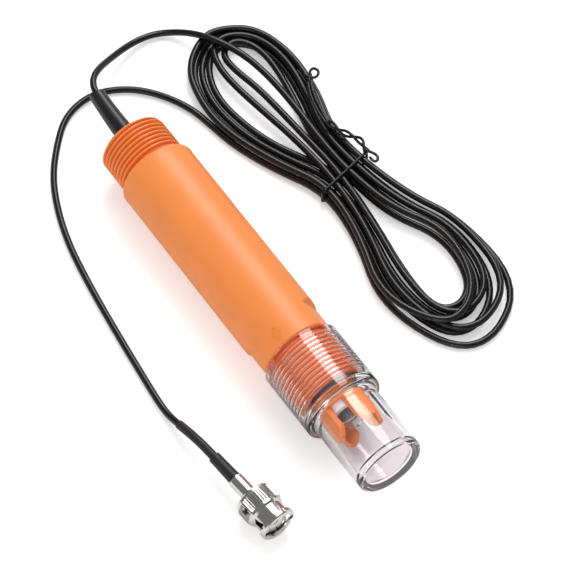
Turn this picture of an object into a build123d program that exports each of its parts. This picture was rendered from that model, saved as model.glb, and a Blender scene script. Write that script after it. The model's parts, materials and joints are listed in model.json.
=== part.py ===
"""pH electrode with a threaded plastic body, a clear screw-on storage cap, a coiled cable and a BNC plug.

Millimetres, +Z up. The electrode lies on its side along X, its sensing end towards +X. The origin is on
the surface it lies on, under the middle of the electrode.
"""

import os
from math import cos, radians, sin, sqrt, tan

from build123d import *

os.makedirs("parts", exist_ok=True)

# Electrode body, measured along its axis from the tip of the cable boot
boot_tip_x = -94.2
boot_length = 24.7
rear_thread_length = 16.05
shoulder_length = 2.85
barrel_length = 90.0
front_neck_length = 1.1
front_thread_length = 20.1
nose_length = 5.4
prong_length = 12.0

barrel_diameter = 29.4
thread_diameter = 26.3
thread_root_diameter = 24.1
thread_chamfer = 0.8
nose_diameter = 18.8
barrel_edge = 0.4

# Wrench flats at the front of the barrel, and the turn of the whole body about its axis
flats_across = 25.9
flats_length = 11.25
flats_ledge = 2.15
body_roll = 27.5

# Guard prongs round the glass bulb
prong_inner_diameter = 15.2
prong_width = 7.1
prong_tip_width = 2.9
prong_tip_taper = 3.3

# Inside of the body
potting_diameter = 20.4
potting_depth = 14.0
potting_recess = 0.6
cavity_diameter = 19.2
nose_bore_diameter = 14.4
nose_bore_depth = 10.0
glue_gap = 0.05

# Glass electrode and what is inside it
stem_diameter = 9.6
stem_wall = 1.1
bulb_diameter = 9.8
bulb_wall = 0.5
bulb_to_prong_tip = 3.0
stem_in_potting = 9.0
stem_plug_length = 8.0
wire_diameter = 0.8
wire_to_bulb = 4.0
reference_wire_offset = 7.2
reference_wire_end = 40.0
junction_outside = 3.0
junction_inside = 7.5
stem_seal_section = 2.2

# Storage cap: a threaded ring with a smooth cup in front
cap_gap = 0.3
ring_diameter = 30.2
ring_length = 26.8
ring_edge = 1.0
cup_diameter = 25.3
cup_length = 28.1
cup_wall = 2.85
cup_base = 3.8
cup_edge = 1.2
cup_root_fillet = 1.5
mouth_diameter = 27.2
mouth_depth = 2.0
thread_clearance = 0.1
o_ring_section = 2.5
o_ring_diameter = 25.2
seal_clearance = 0.05

# Cable boot
boot_base_diameter = 7.8
boot_tip_diameter = 6.1
boot_root_depth = 4.0
boot_bend = 0.9

# Cable, lying on the surface: from the boot into a tied hank, and from the hank out to the plug
cable_diameter = 2.6
lead_route = [
    (-94.2, 0.9, 15.1),
    (-98.4, 1.7, 15.1),
    (-102.1, 4.1, 14.5),
    (-105.5, 8.6, 12.8),
    (-109.2, 15.3, 9.1),
    (-112.8, 22.9, 5.4),
    (-115.1, 30.9, 2.7),
    (-114.7, 38.4, 1.7),
    (-111.0, 44.7, 2.2),
    (-105.0, 48.9, 4.0),
    (-97.5, 51.0, 6.2),
]
tail_route = [
    (-66.5, 33.6, 1.6),
    (-78.2, 31.1, 1.5),
    (-90.0, 25.4, 1.3),
    (-99.5, 16.6, 1.3),
    (-104.7, 4.2, 1.3),
    (-101.6, -8.9, 1.3),
    (-92.6, -18.3, 1.3),
    (-80.8, -27.6, 1.3),
    (-67.2, -33.9, 1.3),
    (-52.6, -38.3, 1.3),
    (-37.6, -40.9, 1.3),
    (-22.6, -42.9, 1.3),
    (-7.6, -44.6, 1.3),
    (6.4, -46.0, 1.3),
    (16.6, -47.0, 1.3),
    (23.9, -47.6, 1.5),
    (29.3, -47.6, 2.3),
    (34.2, -47.2, 4.0),
]
hank_outline = [
    (-88.0, 35.6),
    (-98.5, 44.0),
    (-103.2, 55.5),
    (-97.8, 66.8),
    (-85.0, 75.0),
    (-67.5, 77.0),
    (-48.5, 72.4),
    (-29.5, 71.8),
    (-10.0, 76.6),
    (10.0, 82.2),
    (29.5, 88.6),
    (48.0, 86.8),
    (61.5, 77.0),
    (65.8, 63.5),
    (57.5, 48.8),
    (40.5, 41.0),
    (21.0, 42.6),
    (0.5, 47.9),
    (-20.5, 47.8),
    (-41.0, 39.6),
    (-62.5, 31.0),
    (-76.0, 31.8),
]
hank_eye = [
    (-4.5, 60.6),
    (10.5, 69.4),
    (28.5, 74.0),
    (42.0, 68.2),
    (45.6, 60.0),
    (35.5, 55.7),
    (14.5, 57.2),
]
hank_height = 7.8
pinch_height = 6.2
pinch_x = (-50.0, -36.0, -8.0, 4.0)

# Wire tie round the pinch of the hank, with its twisted ends laid back over the turns
tie_wire = 1.1
tie_middle = (-21.4, 59.6)
tie_turn = 103.6
tie_opening_width = 23.4
tie_fit = 0.05
tie_twist_route = [
    (-24.3, 71.2, 7.45),
    (-29.6, 72.2, 7.5),
    (-35.9, 70.6, 8.0),
    (-41.4, 69.9, 8.8),
    (-46.2, 67.3, 9.3),
]
tie_end_route = [
    (-46.2, 67.3, 9.3),
    (-51.9, 69.5, 9.2),
    (-58.6, 72.2, 8.9),
    (-64.8, 74.2, 8.6),
]

# Plug: its rear end is the back of the coupling nut
plug_back = (73.6, -43.3, 7.3)
plug_heading = 5.8
nut_length = 14.7
nut_flange_diameter = 13.8
nut_flange_length = 1.8
knurl_diameter = 14.6
knurl_length = 4.8
knurl_count = 48
knurl_depth = 0.35
nut_shoulder_diameter = 13.6
nut_shoulder_length = 2.0
nut_neck_diameter = 11.9
nut_rim_diameter = 13.7
nut_rim_length = 1.8
nut_bore_diameter = 9.8
nut_chamber_diameter = 11.2
nut_back_wall = 2.0
nut_travel = 0.8
running_clearance = 0.05
lug_slot_width = 2.1
lug_slot_rise = 2.5
lug_slot_turn = 100.0
lug_seat_diameter = 2.5

shell_neck_diameter = 8.0
shell_neck_overhang = 0.2
shell_flange_diameter = 10.8
shell_flange_length = 1.0
shell_barrel_diameter = 4.7
shell_barrel_length = 6.5
shell_barrel_bore = 2.4
contact_diameter = 8.1
contact_bore = 6.6
contact_reach = 13.4
contact_slit = 0.5
contact_slit_length = 4.5
washer_thickness = 0.35
washer_height = 0.9
gasket_length = 0.9
gasket_diameter = 9.2
insulator_back = 3.2
insulator_reach = 12.9
insulator_hole_diameter = 2.3
insulator_hole_depth = 5.0
centre_pin_diameter = 1.35
centre_pin_back = 0.5
centre_pin_reach = 13.2
ferrule_diameter = 5.7
ferrule_length = 8.4

# Heat-shrink sleeves between the cable and the ferrule
sleeve_front_diameter = 4.9
sleeve_back_diameter = 4.4
sleeve_length = 11.6
thin_sleeve_diameter = 3.3
thin_sleeve_route = [
    (53.5, -45.34, 7.3),
    (46.8, -46.02, 7.3),
    (40.3, -46.7, 6.1),
    (34.2, -47.2, 4.0),
]


# Stations along the electrode's axis
axis_height = ring_diameter / 2
rear_x = boot_tip_x + boot_length
shoulder_x = rear_x + rear_thread_length
barrel_x = shoulder_x + shoulder_length
barrel_end_x = barrel_x + barrel_length
front_thread_x = barrel_end_x + front_neck_length
seal_face_x = front_thread_x + front_thread_length
nose_x = seal_face_x + nose_length
prong_tip_x = nose_x + prong_length
nose_bore_x = nose_x - nose_bore_depth
cavity_x = rear_x + potting_depth

# The electrode's axis, and the upright plane through it that holds every turned profile
electrode_axis = Axis((0, 0, axis_height), (1, 0, 0))
profile_plane = Plane(origin=(0, 0, axis_height), x_dir=(1, 0, 0), z_dir=(0, -1, 0))


def rolled_plane(angle):
    """A plane along the electrode's axis whose local Y points outwards, angle degrees from +Z towards +Y."""
    turn = radians(angle)
    return Plane(
        origin=(0, 0, axis_height),
        x_dir=(1, 0, 0),
        z_dir=(0, -cos(turn), sin(turn)),
    )


def corner_radii(points):
    """The arc for each corner of a cord's route: as large as the shorter of its two runs leaves room for."""
    radii = []
    for before, corner, after in zip(points, points[1:], points[2:]):
        run_in = Vector(*corner) - Vector(*before)
        run_out = Vector(*after) - Vector(*corner)
        half_turn = radians(run_in.get_angle(run_out) / 2)
        radii.append(0.45 * min(run_in.length, run_out.length) / tan(half_turn))
    return radii


def start_plane(points):
    """The plane across the start of a route."""
    return Plane(origin=points[0], z_dir=Vector(*points[1]) - Vector(*points[0]))


# One moulding: rear thread, barrel with its flats, front thread, nose and guard prongs
with BuildPart() as electrode_body:
    with BuildSketch(profile_plane):
        with BuildLine():
            Polyline(
                (rear_x, potting_diameter / 2),
                (rear_x, thread_diameter / 2 - thread_chamfer),
                (rear_x + thread_chamfer, thread_diameter / 2),
                (shoulder_x, thread_diameter / 2),
            )
            TangentArc(
                (shoulder_x, thread_diameter / 2),
                (barrel_x, barrel_diameter / 2),
                tangent=(0.15, 1),
            )
            Polyline(
                (barrel_x, barrel_diameter / 2),
                (barrel_end_x - barrel_edge, barrel_diameter / 2),
                (barrel_end_x, barrel_diameter / 2 - barrel_edge),
                (barrel_end_x, thread_root_diameter / 2),
                (front_thread_x, thread_root_diameter / 2),
                (front_thread_x + thread_chamfer, thread_diameter / 2),
                (seal_face_x - thread_chamfer, thread_diameter / 2),
                (seal_face_x, thread_diameter / 2 - thread_chamfer),
                (seal_face_x, nose_diameter / 2),
                (nose_x, nose_diameter / 2),
                (nose_x, nose_bore_diameter / 2),
                (nose_bore_x, nose_bore_diameter / 2),
                (nose_bore_x, cavity_diameter / 2),
                (cavity_x, cavity_diameter / 2),
                (cavity_x, potting_diameter / 2),
                (rear_x, potting_diameter / 2),
            )
        make_face()
    revolve(axis=electrode_axis)

    # Two flats with a sloping ledge at the back
    with BuildSketch(rolled_plane(90 - body_roll)):
        with BuildLine():
            Polyline(
                (barrel_end_x - flats_length - flats_ledge, barrel_diameter / 2),
                (barrel_end_x - flats_length, flats_across / 2),
                (barrel_end_x, flats_across / 2),
                (barrel_end_x, barrel_diameter),
                (barrel_end_x - flats_length - flats_ledge, barrel_diameter),
                close=True,
            )
        make_face()
        mirror(about=Plane.XZ)
    extrude(amount=barrel_diameter, both=True, mode=Mode.SUBTRACT)

# The four prongs: two crossing pairs of pointed tongues, cut to a tube
with BuildPart() as guard_prongs:
    for pair in (45 - body_roll, 135 - body_roll):
        across = rolled_plane(pair + 90)
        with BuildSketch(across):
            with BuildLine():
                Polyline(
                    (nose_x, -prong_width / 2),
                    (prong_tip_x - prong_tip_taper, -prong_width / 2),
                    (prong_tip_x, -prong_tip_width / 2),
                    (prong_tip_x, prong_tip_width / 2),
                    (prong_tip_x - prong_tip_taper, prong_width / 2),
                    (nose_x, prong_width / 2),
                    close=True,
                )
            make_face()
        extrude(amount=nose_diameter, both=True)
    with BuildSketch(profile_plane):
        with BuildLine():
            Polyline(
                (nose_x, prong_inner_diameter / 2),
                (prong_tip_x, prong_inner_diameter / 2),
                (prong_tip_x, nose_diameter / 2),
                (nose_x, nose_diameter / 2),
                close=True,
            )
        make_face()
    revolve(axis=electrode_axis, mode=Mode.INTERSECT)

with electrode_body:
    add(guard_prongs.part)

electrode_body.part.label = "electrode_body"
export_step(electrode_body.part, "parts/electrode_body.step")


# Glass stem and its pH-sensitive bulb, blown from one tube
bulb_tip_x = prong_tip_x - bulb_to_prong_tip
bulb_centre_x = bulb_tip_x - bulb_diameter / 2
stem_start_x = cavity_x - stem_in_potting
stem_inner = stem_diameter / 2 - stem_wall
bulb_inner = bulb_diameter / 2 - bulb_wall
stem_end_x = bulb_centre_x - sqrt((bulb_diameter / 2) ** 2 - (stem_diameter / 2) ** 2)
inner_end_x = bulb_centre_x - sqrt(bulb_inner**2 - stem_inner**2)

with BuildPart() as ph_glass:
    with BuildSketch(profile_plane):
        with BuildLine():
            Line((stem_start_x, stem_diameter / 2), (stem_end_x, stem_diameter / 2))
            ThreePointArc(
                (stem_end_x, stem_diameter / 2),
                (bulb_centre_x, bulb_diameter / 2),
                (bulb_tip_x, 0),
            )
            Line((bulb_tip_x, 0), (bulb_tip_x - bulb_wall, 0))
            ThreePointArc(
                (bulb_tip_x - bulb_wall, 0),
                (bulb_centre_x, bulb_inner),
                (inner_end_x, stem_inner),
            )
            Polyline(
                (inner_end_x, stem_inner),
                (stem_start_x, stem_inner),
                (stem_start_x, stem_diameter / 2),
            )
        make_face()
    revolve(axis=electrode_axis)

ph_glass.part.label = "ph_glass"
export_step(ph_glass.part, "parts/ph_glass.step")


# Rubber plug in the rear end of the glass, round the silver wire
with BuildPart() as stem_plug:
    with BuildSketch(profile_plane):
        with BuildLine():
            Polyline(
                (stem_start_x, wire_diameter / 2 + glue_gap),
                (stem_start_x, stem_inner - glue_gap),
                (stem_start_x + stem_plug_length, stem_inner - glue_gap),
                (stem_start_x + stem_plug_length, wire_diameter / 2 + glue_gap),
                close=True,
            )
        make_face()
    revolve(axis=electrode_axis)

stem_plug.part.label = "stem_plug"
export_step(stem_plug.part, "parts/stem_plug.step")


# Silver wire from the plug into the bulb
wire_end_x = bulb_tip_x - wire_to_bulb
with BuildPart() as silver_wire:
    with BuildSketch(Plane.YZ.offset(stem_start_x)):
        with Locations((0, axis_height)):
            Circle(wire_diameter / 2)
    extrude(amount=wire_end_x - stem_start_x)

silver_wire.part.label = "silver_wire"
export_step(silver_wire.part, "parts/silver_wire.step")


# Reference wire beside the glass, held in the potting
reference_start_x = stem_start_x
with BuildPart() as reference_wire:
    with BuildSketch(Plane.YZ.offset(reference_start_x)):
        with Locations((0, axis_height + reference_wire_offset)):
            Circle(wire_diameter / 2)
    extrude(amount=potting_depth + reference_wire_end)

reference_wire.part.label = "reference_wire"
export_step(reference_wire.part, "parts/reference_wire.step")


# Resin that closes the rear end and holds the boot, the glass and the reference wire
boot_root_x = rear_x + potting_recess + boot_root_depth
with BuildPart() as rear_potting:
    with BuildSketch(profile_plane):
        with BuildLine():
            Polyline(
                (rear_x + potting_recess, boot_base_diameter / 2 + glue_gap),
                (rear_x + potting_recess, potting_diameter / 2 - glue_gap),
                (cavity_x, potting_diameter / 2 - glue_gap),
                (cavity_x, stem_diameter / 2 + glue_gap),
                (stem_start_x, stem_diameter / 2 + glue_gap),
                (stem_start_x, 0),
                (boot_root_x, 0),
                (boot_root_x, boot_base_diameter / 2 + glue_gap),
                close=True,
            )
        make_face()
    revolve(axis=electrode_axis)
    with BuildSketch(Plane.YZ.offset(reference_start_x)):
        with Locations((0, axis_height + reference_wire_offset)):
            Circle(wire_diameter / 2 + glue_gap)
    extrude(amount=potting_depth, mode=Mode.SUBTRACT)

rear_potting.part.label = "rear_potting"
export_step(rear_potting.part, "parts/rear_potting.step")


# Porous white junction ring between the glass and the nose, and the rubber ring behind it
junction_back_x = nose_x - junction_inside
with BuildPart() as reference_junction:
    with BuildSketch(profile_plane):
        with BuildLine():
            Polyline(
                (junction_back_x, stem_diameter / 2 + glue_gap),
                (junction_back_x, nose_bore_diameter / 2 - glue_gap),
                (nose_x + junction_outside, nose_bore_diameter / 2 - glue_gap),
                (nose_x + junction_outside, stem_diameter / 2 + glue_gap),
                close=True,
            )
        make_face()
    revolve(axis=electrode_axis)
    chamfer(
        reference_junction.edges().filter_by(GeomType.CIRCLE).sort_by(Axis.X)[-1],
        length=0.3,
    )

reference_junction.part.label = "reference_junction"
export_step(reference_junction.part, "parts/reference_junction.step")

seal_radius = (stem_diameter + nose_bore_diameter) / 4
with BuildPart() as stem_seal:
    with BuildSketch(profile_plane):
        with Locations((junction_back_x - stem_seal_section / 2 - glue_gap, seal_radius)):
            Circle(stem_seal_section / 2)
    revolve(axis=electrode_axis)

stem_seal.part.label = "stem_seal"
export_step(stem_seal.part, "parts/stem_seal.step")


# Rubber O-ring between the end of the front thread and the cap's inner shoulder
o_ring_x = seal_face_x + seal_clearance + o_ring_section / 2
with BuildPart() as front_o_ring:
    with BuildSketch(profile_plane):
        with Locations((o_ring_x, (o_ring_diameter - o_ring_section) / 2)):
            Circle(o_ring_section / 2)
    revolve(axis=electrode_axis)

front_o_ring.part.label = "front_o_ring"
export_step(front_o_ring.part, "parts/front_o_ring.step")


# Clear storage cap, screwed down until its shoulder meets the O-ring
cap_mouth_x = barrel_end_x + cap_gap
cap_shoulder_x = o_ring_x + o_ring_section / 2 + seal_clearance
ring_end_x = cap_mouth_x + ring_length
cap_end_x = ring_end_x + cup_length
cap_thread_bore = thread_diameter + 2 * thread_clearance
cup_bore = cup_diameter - 2 * cup_wall

with BuildPart() as storage_cap:
    with BuildSketch(profile_plane):
        with BuildLine():
            Polyline(
                (cap_mouth_x, mouth_diameter / 2),
                (cap_mouth_x, ring_diameter / 2),
                (ring_end_x, ring_diameter / 2),
                (ring_end_x, cup_diameter / 2),
                (cap_end_x, cup_diameter / 2),
                (cap_end_x, 0),
                (cap_end_x - cup_base, 0),
                (cap_end_x - cup_base, cup_bore / 2),
                (cap_shoulder_x, cup_bore / 2),
                (cap_shoulder_x, cap_thread_bore / 2),
                (cap_mouth_x + mouth_depth, cap_thread_bore / 2),
                (cap_mouth_x + mouth_depth, mouth_diameter / 2),
                close=True,
            )
        make_face()
    revolve(axis=electrode_axis)
    round_edges = storage_cap.edges().filter_by(GeomType.CIRCLE)
    fillet(
        round_edges.filter_by(lambda edge: abs(edge.radius - ring_diameter / 2) < 0.01)
        .sort_by(Axis.X)[-1],
        radius=ring_edge,
    )
    cup_edges = storage_cap.edges().filter_by(GeomType.CIRCLE).filter_by(
        lambda edge: abs(edge.radius - cup_diameter / 2) < 0.01
    )
    fillet(cup_edges.sort_by(Axis.X)[-1], radius=cup_edge)
    fillet(
        storage_cap.edges()
        .filter_by(GeomType.CIRCLE)
        .filter_by(lambda edge: abs(edge.radius - cup_diameter / 2) < 0.01)
        .sort_by(Axis.X)[0],
        radius=min(cup_root_fillet, (ring_diameter - cup_diameter) / 2 - ring_edge - 0.1),
    )

storage_cap.part.label = "storage_cap"
export_step(storage_cap.part, "parts/storage_cap.step")


# Cable boot: a tapering rubber sleeve that bends a little towards the hank
boot_stations = (0.0, 0.35, 0.7, 1.0)
boot_tip = Vector(*lead_route[0])
boot_base = Vector(rear_x, 0, axis_height)
boot_tip_direction = Vector(*lead_route[1]) - boot_tip
with BuildPart() as cable_boot:
    for share in boot_stations:
        radius = (boot_base_diameter + (boot_tip_diameter - boot_base_diameter) * share) / 2
        centre = Vector(
            rear_x - boot_length * share, boot_bend * share**2.4, axis_height
        )
        lean = Vector(-boot_length, boot_bend * 2.4 * share**1.4, 0)
        if share == boot_stations[-1]:
            lean = boot_tip_direction
        with BuildSketch(Plane(origin=centre, x_dir=(0, 0, 1), z_dir=lean)):
            Circle(radius)
    loft()
    with BuildSketch(Plane.YZ.offset(rear_x)):
        with Locations((0, axis_height)):
            Circle(boot_base_diameter / 2)
    extrude(amount=potting_recess + boot_root_depth - glue_gap)

cable_boot.part.label = "cable_boot"
export_step(cable_boot.part, "parts/cable_boot.step")


# The cable from the boot to the hank
lead_radii = corner_radii(lead_route)
print("lead radii", [round(radius, 1) for radius in lead_radii])
with BuildPart() as cable_lead:
    with BuildLine() as lead_line:
        FilletPolyline(*lead_route, radius=lead_radii)
    with BuildSketch(start_plane(lead_route)):
        Circle(cable_diameter / 2)
    sweep(path=lead_line.wires()[0])
lead_length = lead_line.wires()[0].length
print("lead length", lead_length, "volume ratio", cable_lead.part.volume / (
    lead_length * 3.14159 * cable_diameter**2 / 4))

cable_lead.part.label = "cable_lead"
export_step(cable_lead.part, "parts/cable_lead.step")


# The cable from the hank to the sleeves of the plug
tail_radii = corner_radii(tail_route)
print("tail radii", [round(radius, 1) for radius in tail_radii])
with BuildPart() as cable_tail:
    with BuildLine() as tail_line:
        FilletPolyline(*tail_route, radius=tail_radii)
    with BuildSketch(start_plane(tail_route)):
        Circle(cable_diameter / 2)
    sweep(path=tail_line.wires()[0])
tail_length = tail_line.wires()[0].length
print("tail length", tail_length, "volume ratio", cable_tail.part.volume / (
    tail_length * 3.14159 * cable_diameter**2 / 4))

cable_tail.part.label = "cable_tail"
export_step(cable_tail.part, "parts/cable_tail.step")


# The tied hank: the outer shape of its turns, open in the eye, lower where the tie pinches it
tie_angle = radians(tie_turn)
tie_along = Vector(cos(tie_angle), sin(tie_angle), 0)
tie_plane = Plane(
    origin=(tie_middle[0], tie_middle[1], 0),
    x_dir=tie_along,
    z_dir=(sin(tie_angle), -cos(tie_angle), 0),
)
tie_bottom = tie_wire + tie_fit
tie_opening_height = pinch_height - tie_bottom

with BuildPart() as cable_hank:
    with BuildSketch():
        with BuildLine():
            Spline(*hank_outline, periodic=True)
        make_face()
        with BuildLine():
            Spline(*hank_eye, periodic=True)
        make_face(mode=Mode.SUBTRACT)
    extrude(amount=hank_height)
    with BuildSketch(Plane.XZ):
        with BuildLine():
            Polyline(
                (pinch_x[0], hank_height),
                (pinch_x[1], pinch_height),
                (pinch_x[2], pinch_height),
                (pinch_x[3], hank_height),
                (pinch_x[3], 2 * hank_height),
                (pinch_x[0], 2 * hank_height),
                close=True,
            )
        make_face()
    extrude(amount=-200, mode=Mode.SUBTRACT)
    with BuildSketch(tie_plane):
        with Locations((0, pinch_height / 2)):
            Rectangle(4 * tie_opening_width, 4 * pinch_height)
        with Locations((0, tie_bottom + tie_opening_height / 2)):
            Rectangle(
                tie_opening_width,
                tie_opening_height,
                mode=Mode.SUBTRACT,
            )
    extrude(amount=tie_wire / 2 + tie_fit, both=True, mode=Mode.SUBTRACT)

cable_hank.part.label = "cable_hank"
export_step(cable_hank.part, "parts/cable_hank.step")


# Wire tie: one turn round the pinch, then the twisted pair and its loose ends on top of the hank
with BuildPart() as twist_tie:
    with BuildSketch(tie_plane):
        with Locations((0, tie_bottom + tie_opening_height / 2)):
            RectangleRounded(
                tie_opening_width + 2 * tie_wire,
                tie_opening_height + 2 * tie_wire,
                tie_wire,
            )
            Rectangle(
                tie_opening_width + 2 * tie_fit,
                tie_opening_height + 2 * tie_fit,
                mode=Mode.SUBTRACT,
            )
    extrude(amount=tie_wire / 2, both=True)
    with BuildLine() as twist_line:
        FilletPolyline(*tie_twist_route, radius=corner_radii(tie_twist_route))
    with BuildSketch(start_plane(tie_twist_route)):
        Circle(tie_wire)
    sweep(path=twist_line.wires()[0])
    with BuildLine() as end_line:
        FilletPolyline(*tie_end_route, radius=corner_radii(tie_end_route))
    with BuildSketch(start_plane(tie_end_route)):
        Circle(tie_wire / 2)
    sweep(path=end_line.wires()[0])

twist_tie.part.label = "twist_tie"
export_step(twist_tie.part, "parts/twist_tie.step")


# The plug's own axis, and the upright plane through it: local X runs from the back of the nut forwards
heading = radians(plug_heading)
plug_direction = Vector(cos(heading), sin(heading), 0)
plug_axis = Axis(plug_back, plug_direction)
plug_plane = Plane(
    origin=plug_back,
    x_dir=plug_direction,
    z_dir=(sin(heading), -cos(heading), 0),
)


def plug_section(station):
    """The plane across the plug at a distance from the back of the nut."""
    return Plane(
        origin=Vector(*plug_back) + plug_direction * station,
        x_dir=(-sin(heading), cos(heading), 0),
        z_dir=plug_direction,
    )


knurl_start = nut_flange_length
knurl_end = knurl_start + knurl_length
neck_start = knurl_end + nut_shoulder_length
rim_start = nut_length - nut_rim_length
flange_back = nut_back_wall + nut_travel + washer_height + 3 * running_clearance
flange_front = flange_back + shell_flange_length
chamber_end = flange_front + 6 * running_clearance

# Coupling nut: knurled grip, necked front with two bayonet slots, stepped bore
with BuildPart() as coupling_nut:
    with BuildSketch(plug_plane):
        with BuildLine():
            Polyline(
                (0, shell_neck_diameter / 2 + running_clearance),
                (0, nut_flange_diameter / 2 - 0.7),
                (0.7, nut_flange_diameter / 2),
                (knurl_start, nut_flange_diameter / 2),
                (knurl_start, nut_shoulder_diameter / 2),
                (neck_start - 0.8, nut_shoulder_diameter / 2),
                (neck_start, nut_neck_diameter / 2),
                (rim_start, nut_neck_diameter / 2),
                (rim_start, nut_rim_diameter / 2),
                (nut_length - 0.4, nut_rim_diameter / 2),
                (nut_length, nut_rim_diameter / 2 - 0.4),
                (nut_length, nut_bore_diameter / 2),
                (chamber_end, nut_bore_diameter / 2),
                (chamber_end, nut_chamber_diameter / 2),
                (nut_back_wall, nut_chamber_diameter / 2),
                (nut_back_wall, shell_neck_diameter / 2 + running_clearance),
                close=True,
            )
        make_face()
    revolve(axis=plug_axis)
    with BuildSketch(plug_section(knurl_start)):
        Circle(knurl_diameter / 2)
        with PolarLocations(knurl_diameter / 2, knurl_count):
            Rectangle(
                sqrt(2) * knurl_depth,
                sqrt(2) * knurl_depth,
                rotation=45,
                mode=Mode.SUBTRACT,
            )
        Circle(nut_shoulder_diameter / 2 - knurl_depth, mode=Mode.SUBTRACT)
    extrude(amount=knurl_length)

# The slots for the socket's two lugs: from the rim back along a helix to a round seat
lug_depth = nut_neck_diameter / 2 - nut_bore_diameter / 2
slot_radius = (nut_neck_diameter + nut_bore_diameter) / 4
slot_start = rim_start - lug_slot_width / 2
with BuildPart() as lug_slots:
    with BuildLine(plug_section(slot_start)) as ramp:
        Helix(
            pitch=lug_slot_rise * 360 / lug_slot_turn,
            height=lug_slot_rise,
            radius=slot_radius,
            direction=(0, 0, -1),
        )
    with BuildSketch(
        Plane(
            origin=ramp.edges()[0] @ 0,
            x_dir=(ramp.edges()[0] @ 0) - plug_section(slot_start).origin,
            z_dir=ramp.edges()[0] % 0,
        )
    ):
        Rectangle(2 * lug_depth, lug_slot_width)
    sweep(path=ramp.edges()[0], is_frenet=True)

with coupling_nut:
    add(lug_slots.part, mode=Mode.SUBTRACT)
    add(lug_slots.part.rotate(plug_axis, 180), mode=Mode.SUBTRACT)
    # Ways in for the lugs, hidden behind the rim
    with BuildSketch(plug_section(slot_start)):
        with PolarLocations(slot_radius - lug_depth / 2, 2):
            Rectangle(2 * lug_depth, lug_slot_width)
    extrude(amount=nut_length - slot_start, mode=Mode.SUBTRACT)
    # Round seats at the back of the slots
    with BuildSketch(
        Plane(
            origin=plug_section(slot_start - lug_slot_rise).origin,
            x_dir=plug_direction,
            z_dir=(ramp.edges()[0] @ 1) - plug_section(slot_start - lug_slot_rise).origin,
        )
    ):
        Circle(lug_seat_diameter / 2)
    extrude(amount=nut_neck_diameter, both=True, mode=Mode.SUBTRACT)

coupling_nut.part.label = "coupling_nut"
export_step(coupling_nut.part, "parts/coupling_nut.step")


# Shell of the plug: crimp barrel, neck, flange and the slit outer contact
with BuildPart() as plug_shell:
    with BuildSketch(plug_plane):
        with BuildLine():
            Polyline(
                (-shell_neck_overhang - shell_barrel_length, shell_barrel_bore / 2),
                (-shell_neck_overhang - shell_barrel_length, shell_barrel_diameter / 2),
                (-shell_neck_overhang, shell_barrel_diameter / 2),
                (-shell_neck_overhang, shell_neck_diameter / 2),
                (flange_back, shell_neck_diameter / 2),
                (flange_back, shell_flange_diameter / 2),
                (flange_front, shell_flange_diameter / 2),
                (flange_front, contact_diameter / 2),
                (contact_reach, contact_diameter / 2),
                (contact_reach, contact_bore / 2),
                (insulator_back, contact_bore / 2),
                (insulator_back, shell_barrel_bore / 2),
                close=True,
            )
        make_face()
    revolve(axis=plug_axis)
    with BuildSketch(plug_section(contact_reach)):
        Rectangle(contact_slit, 2 * contact_diameter)
        Rectangle(2 * contact_diameter, contact_slit)
    extrude(amount=-contact_slit_length, mode=Mode.SUBTRACT)

plug_shell.part.label = "plug_shell"
export_step(plug_shell.part, "parts/plug_shell.step")


# Spring washer between the flange and the back wall of the nut
washer_back = flange_back - running_clearance - washer_height
washer_bore = shell_neck_diameter / 2 + running_clearance
washer_rim = nut_chamber_diameter / 2 - 2 * running_clearance
with BuildPart() as spring_washer:
    with BuildSketch(plug_plane):
        with BuildLine():
            Polyline(
                (washer_back, washer_rim),
                (washer_back + washer_thickness, washer_rim),
                (washer_back + washer_height, washer_bore),
                (washer_back + washer_height - washer_thickness, washer_bore),
                close=True,
            )
        make_face()
    revolve(axis=plug_axis)

spring_washer.part.label = "spring_washer"
export_step(spring_washer.part, "parts/spring_washer.step")


# Rubber gasket round the foot of the outer contact
with BuildPart() as plug_gasket:
    with BuildSketch(plug_section(flange_front)):
        Circle(gasket_diameter / 2)
        Circle(contact_diameter / 2, mode=Mode.SUBTRACT)
    extrude(amount=gasket_length)

plug_gasket.part.label = "plug_gasket"
export_step(plug_gasket.part, "parts/plug_gasket.step")


# White insulator with its socket round the centre pin
pin_hole = centre_pin_diameter / 2 + glue_gap
hole_floor = insulator_reach - insulator_hole_depth
with BuildPart() as plug_insulator:
    with BuildSketch(plug_plane):
        with BuildLine():
            Polyline(
                (insulator_back, pin_hole),
                (insulator_back, contact_bore / 2 - glue_gap),
                (insulator_reach, contact_bore / 2 - glue_gap),
                (insulator_reach, insulator_hole_diameter / 2),
                (hole_floor, insulator_hole_diameter / 2),
                (hole_floor, pin_hole),
                close=True,
            )
        make_face()
    revolve(axis=plug_axis)

plug_insulator.part.label = "plug_insulator"
export_step(plug_insulator.part, "parts/plug_insulator.step")


# Gold-plated centre pin with a tapered tip
with BuildPart() as centre_pin:
    with BuildSketch(plug_plane):
        with BuildLine():
            Polyline(
                (centre_pin_back, 0),
                (centre_pin_back, centre_pin_diameter / 2),
                (centre_pin_reach - centre_pin_diameter / 2, centre_pin_diameter / 2),
                (centre_pin_reach, centre_pin_diameter / 6),
                (centre_pin_reach, 0),
                close=True,
            )
        make_face()
    revolve(axis=plug_axis)

centre_pin.part.label = "centre_pin"
export_step(centre_pin.part, "parts/centre_pin.step")


# Crimp ferrule over the shell's barrel
ferrule_back = -shell_neck_overhang - ferrule_length
ferrule_bore = shell_barrel_diameter + 2 * glue_gap
with BuildPart() as crimp_ferrule:
    with BuildSketch(plug_section(ferrule_back)):
        Circle(ferrule_diameter / 2)
        Circle(ferrule_bore / 2, mode=Mode.SUBTRACT)
    extrude(amount=ferrule_length)
    chamfer(
        crimp_ferrule.edges().filter_by(GeomType.CIRCLE).group_by(Axis.X)[0].sort_by(
            SortBy.RADIUS
        )[-1],
        length=0.25,
    )

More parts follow.
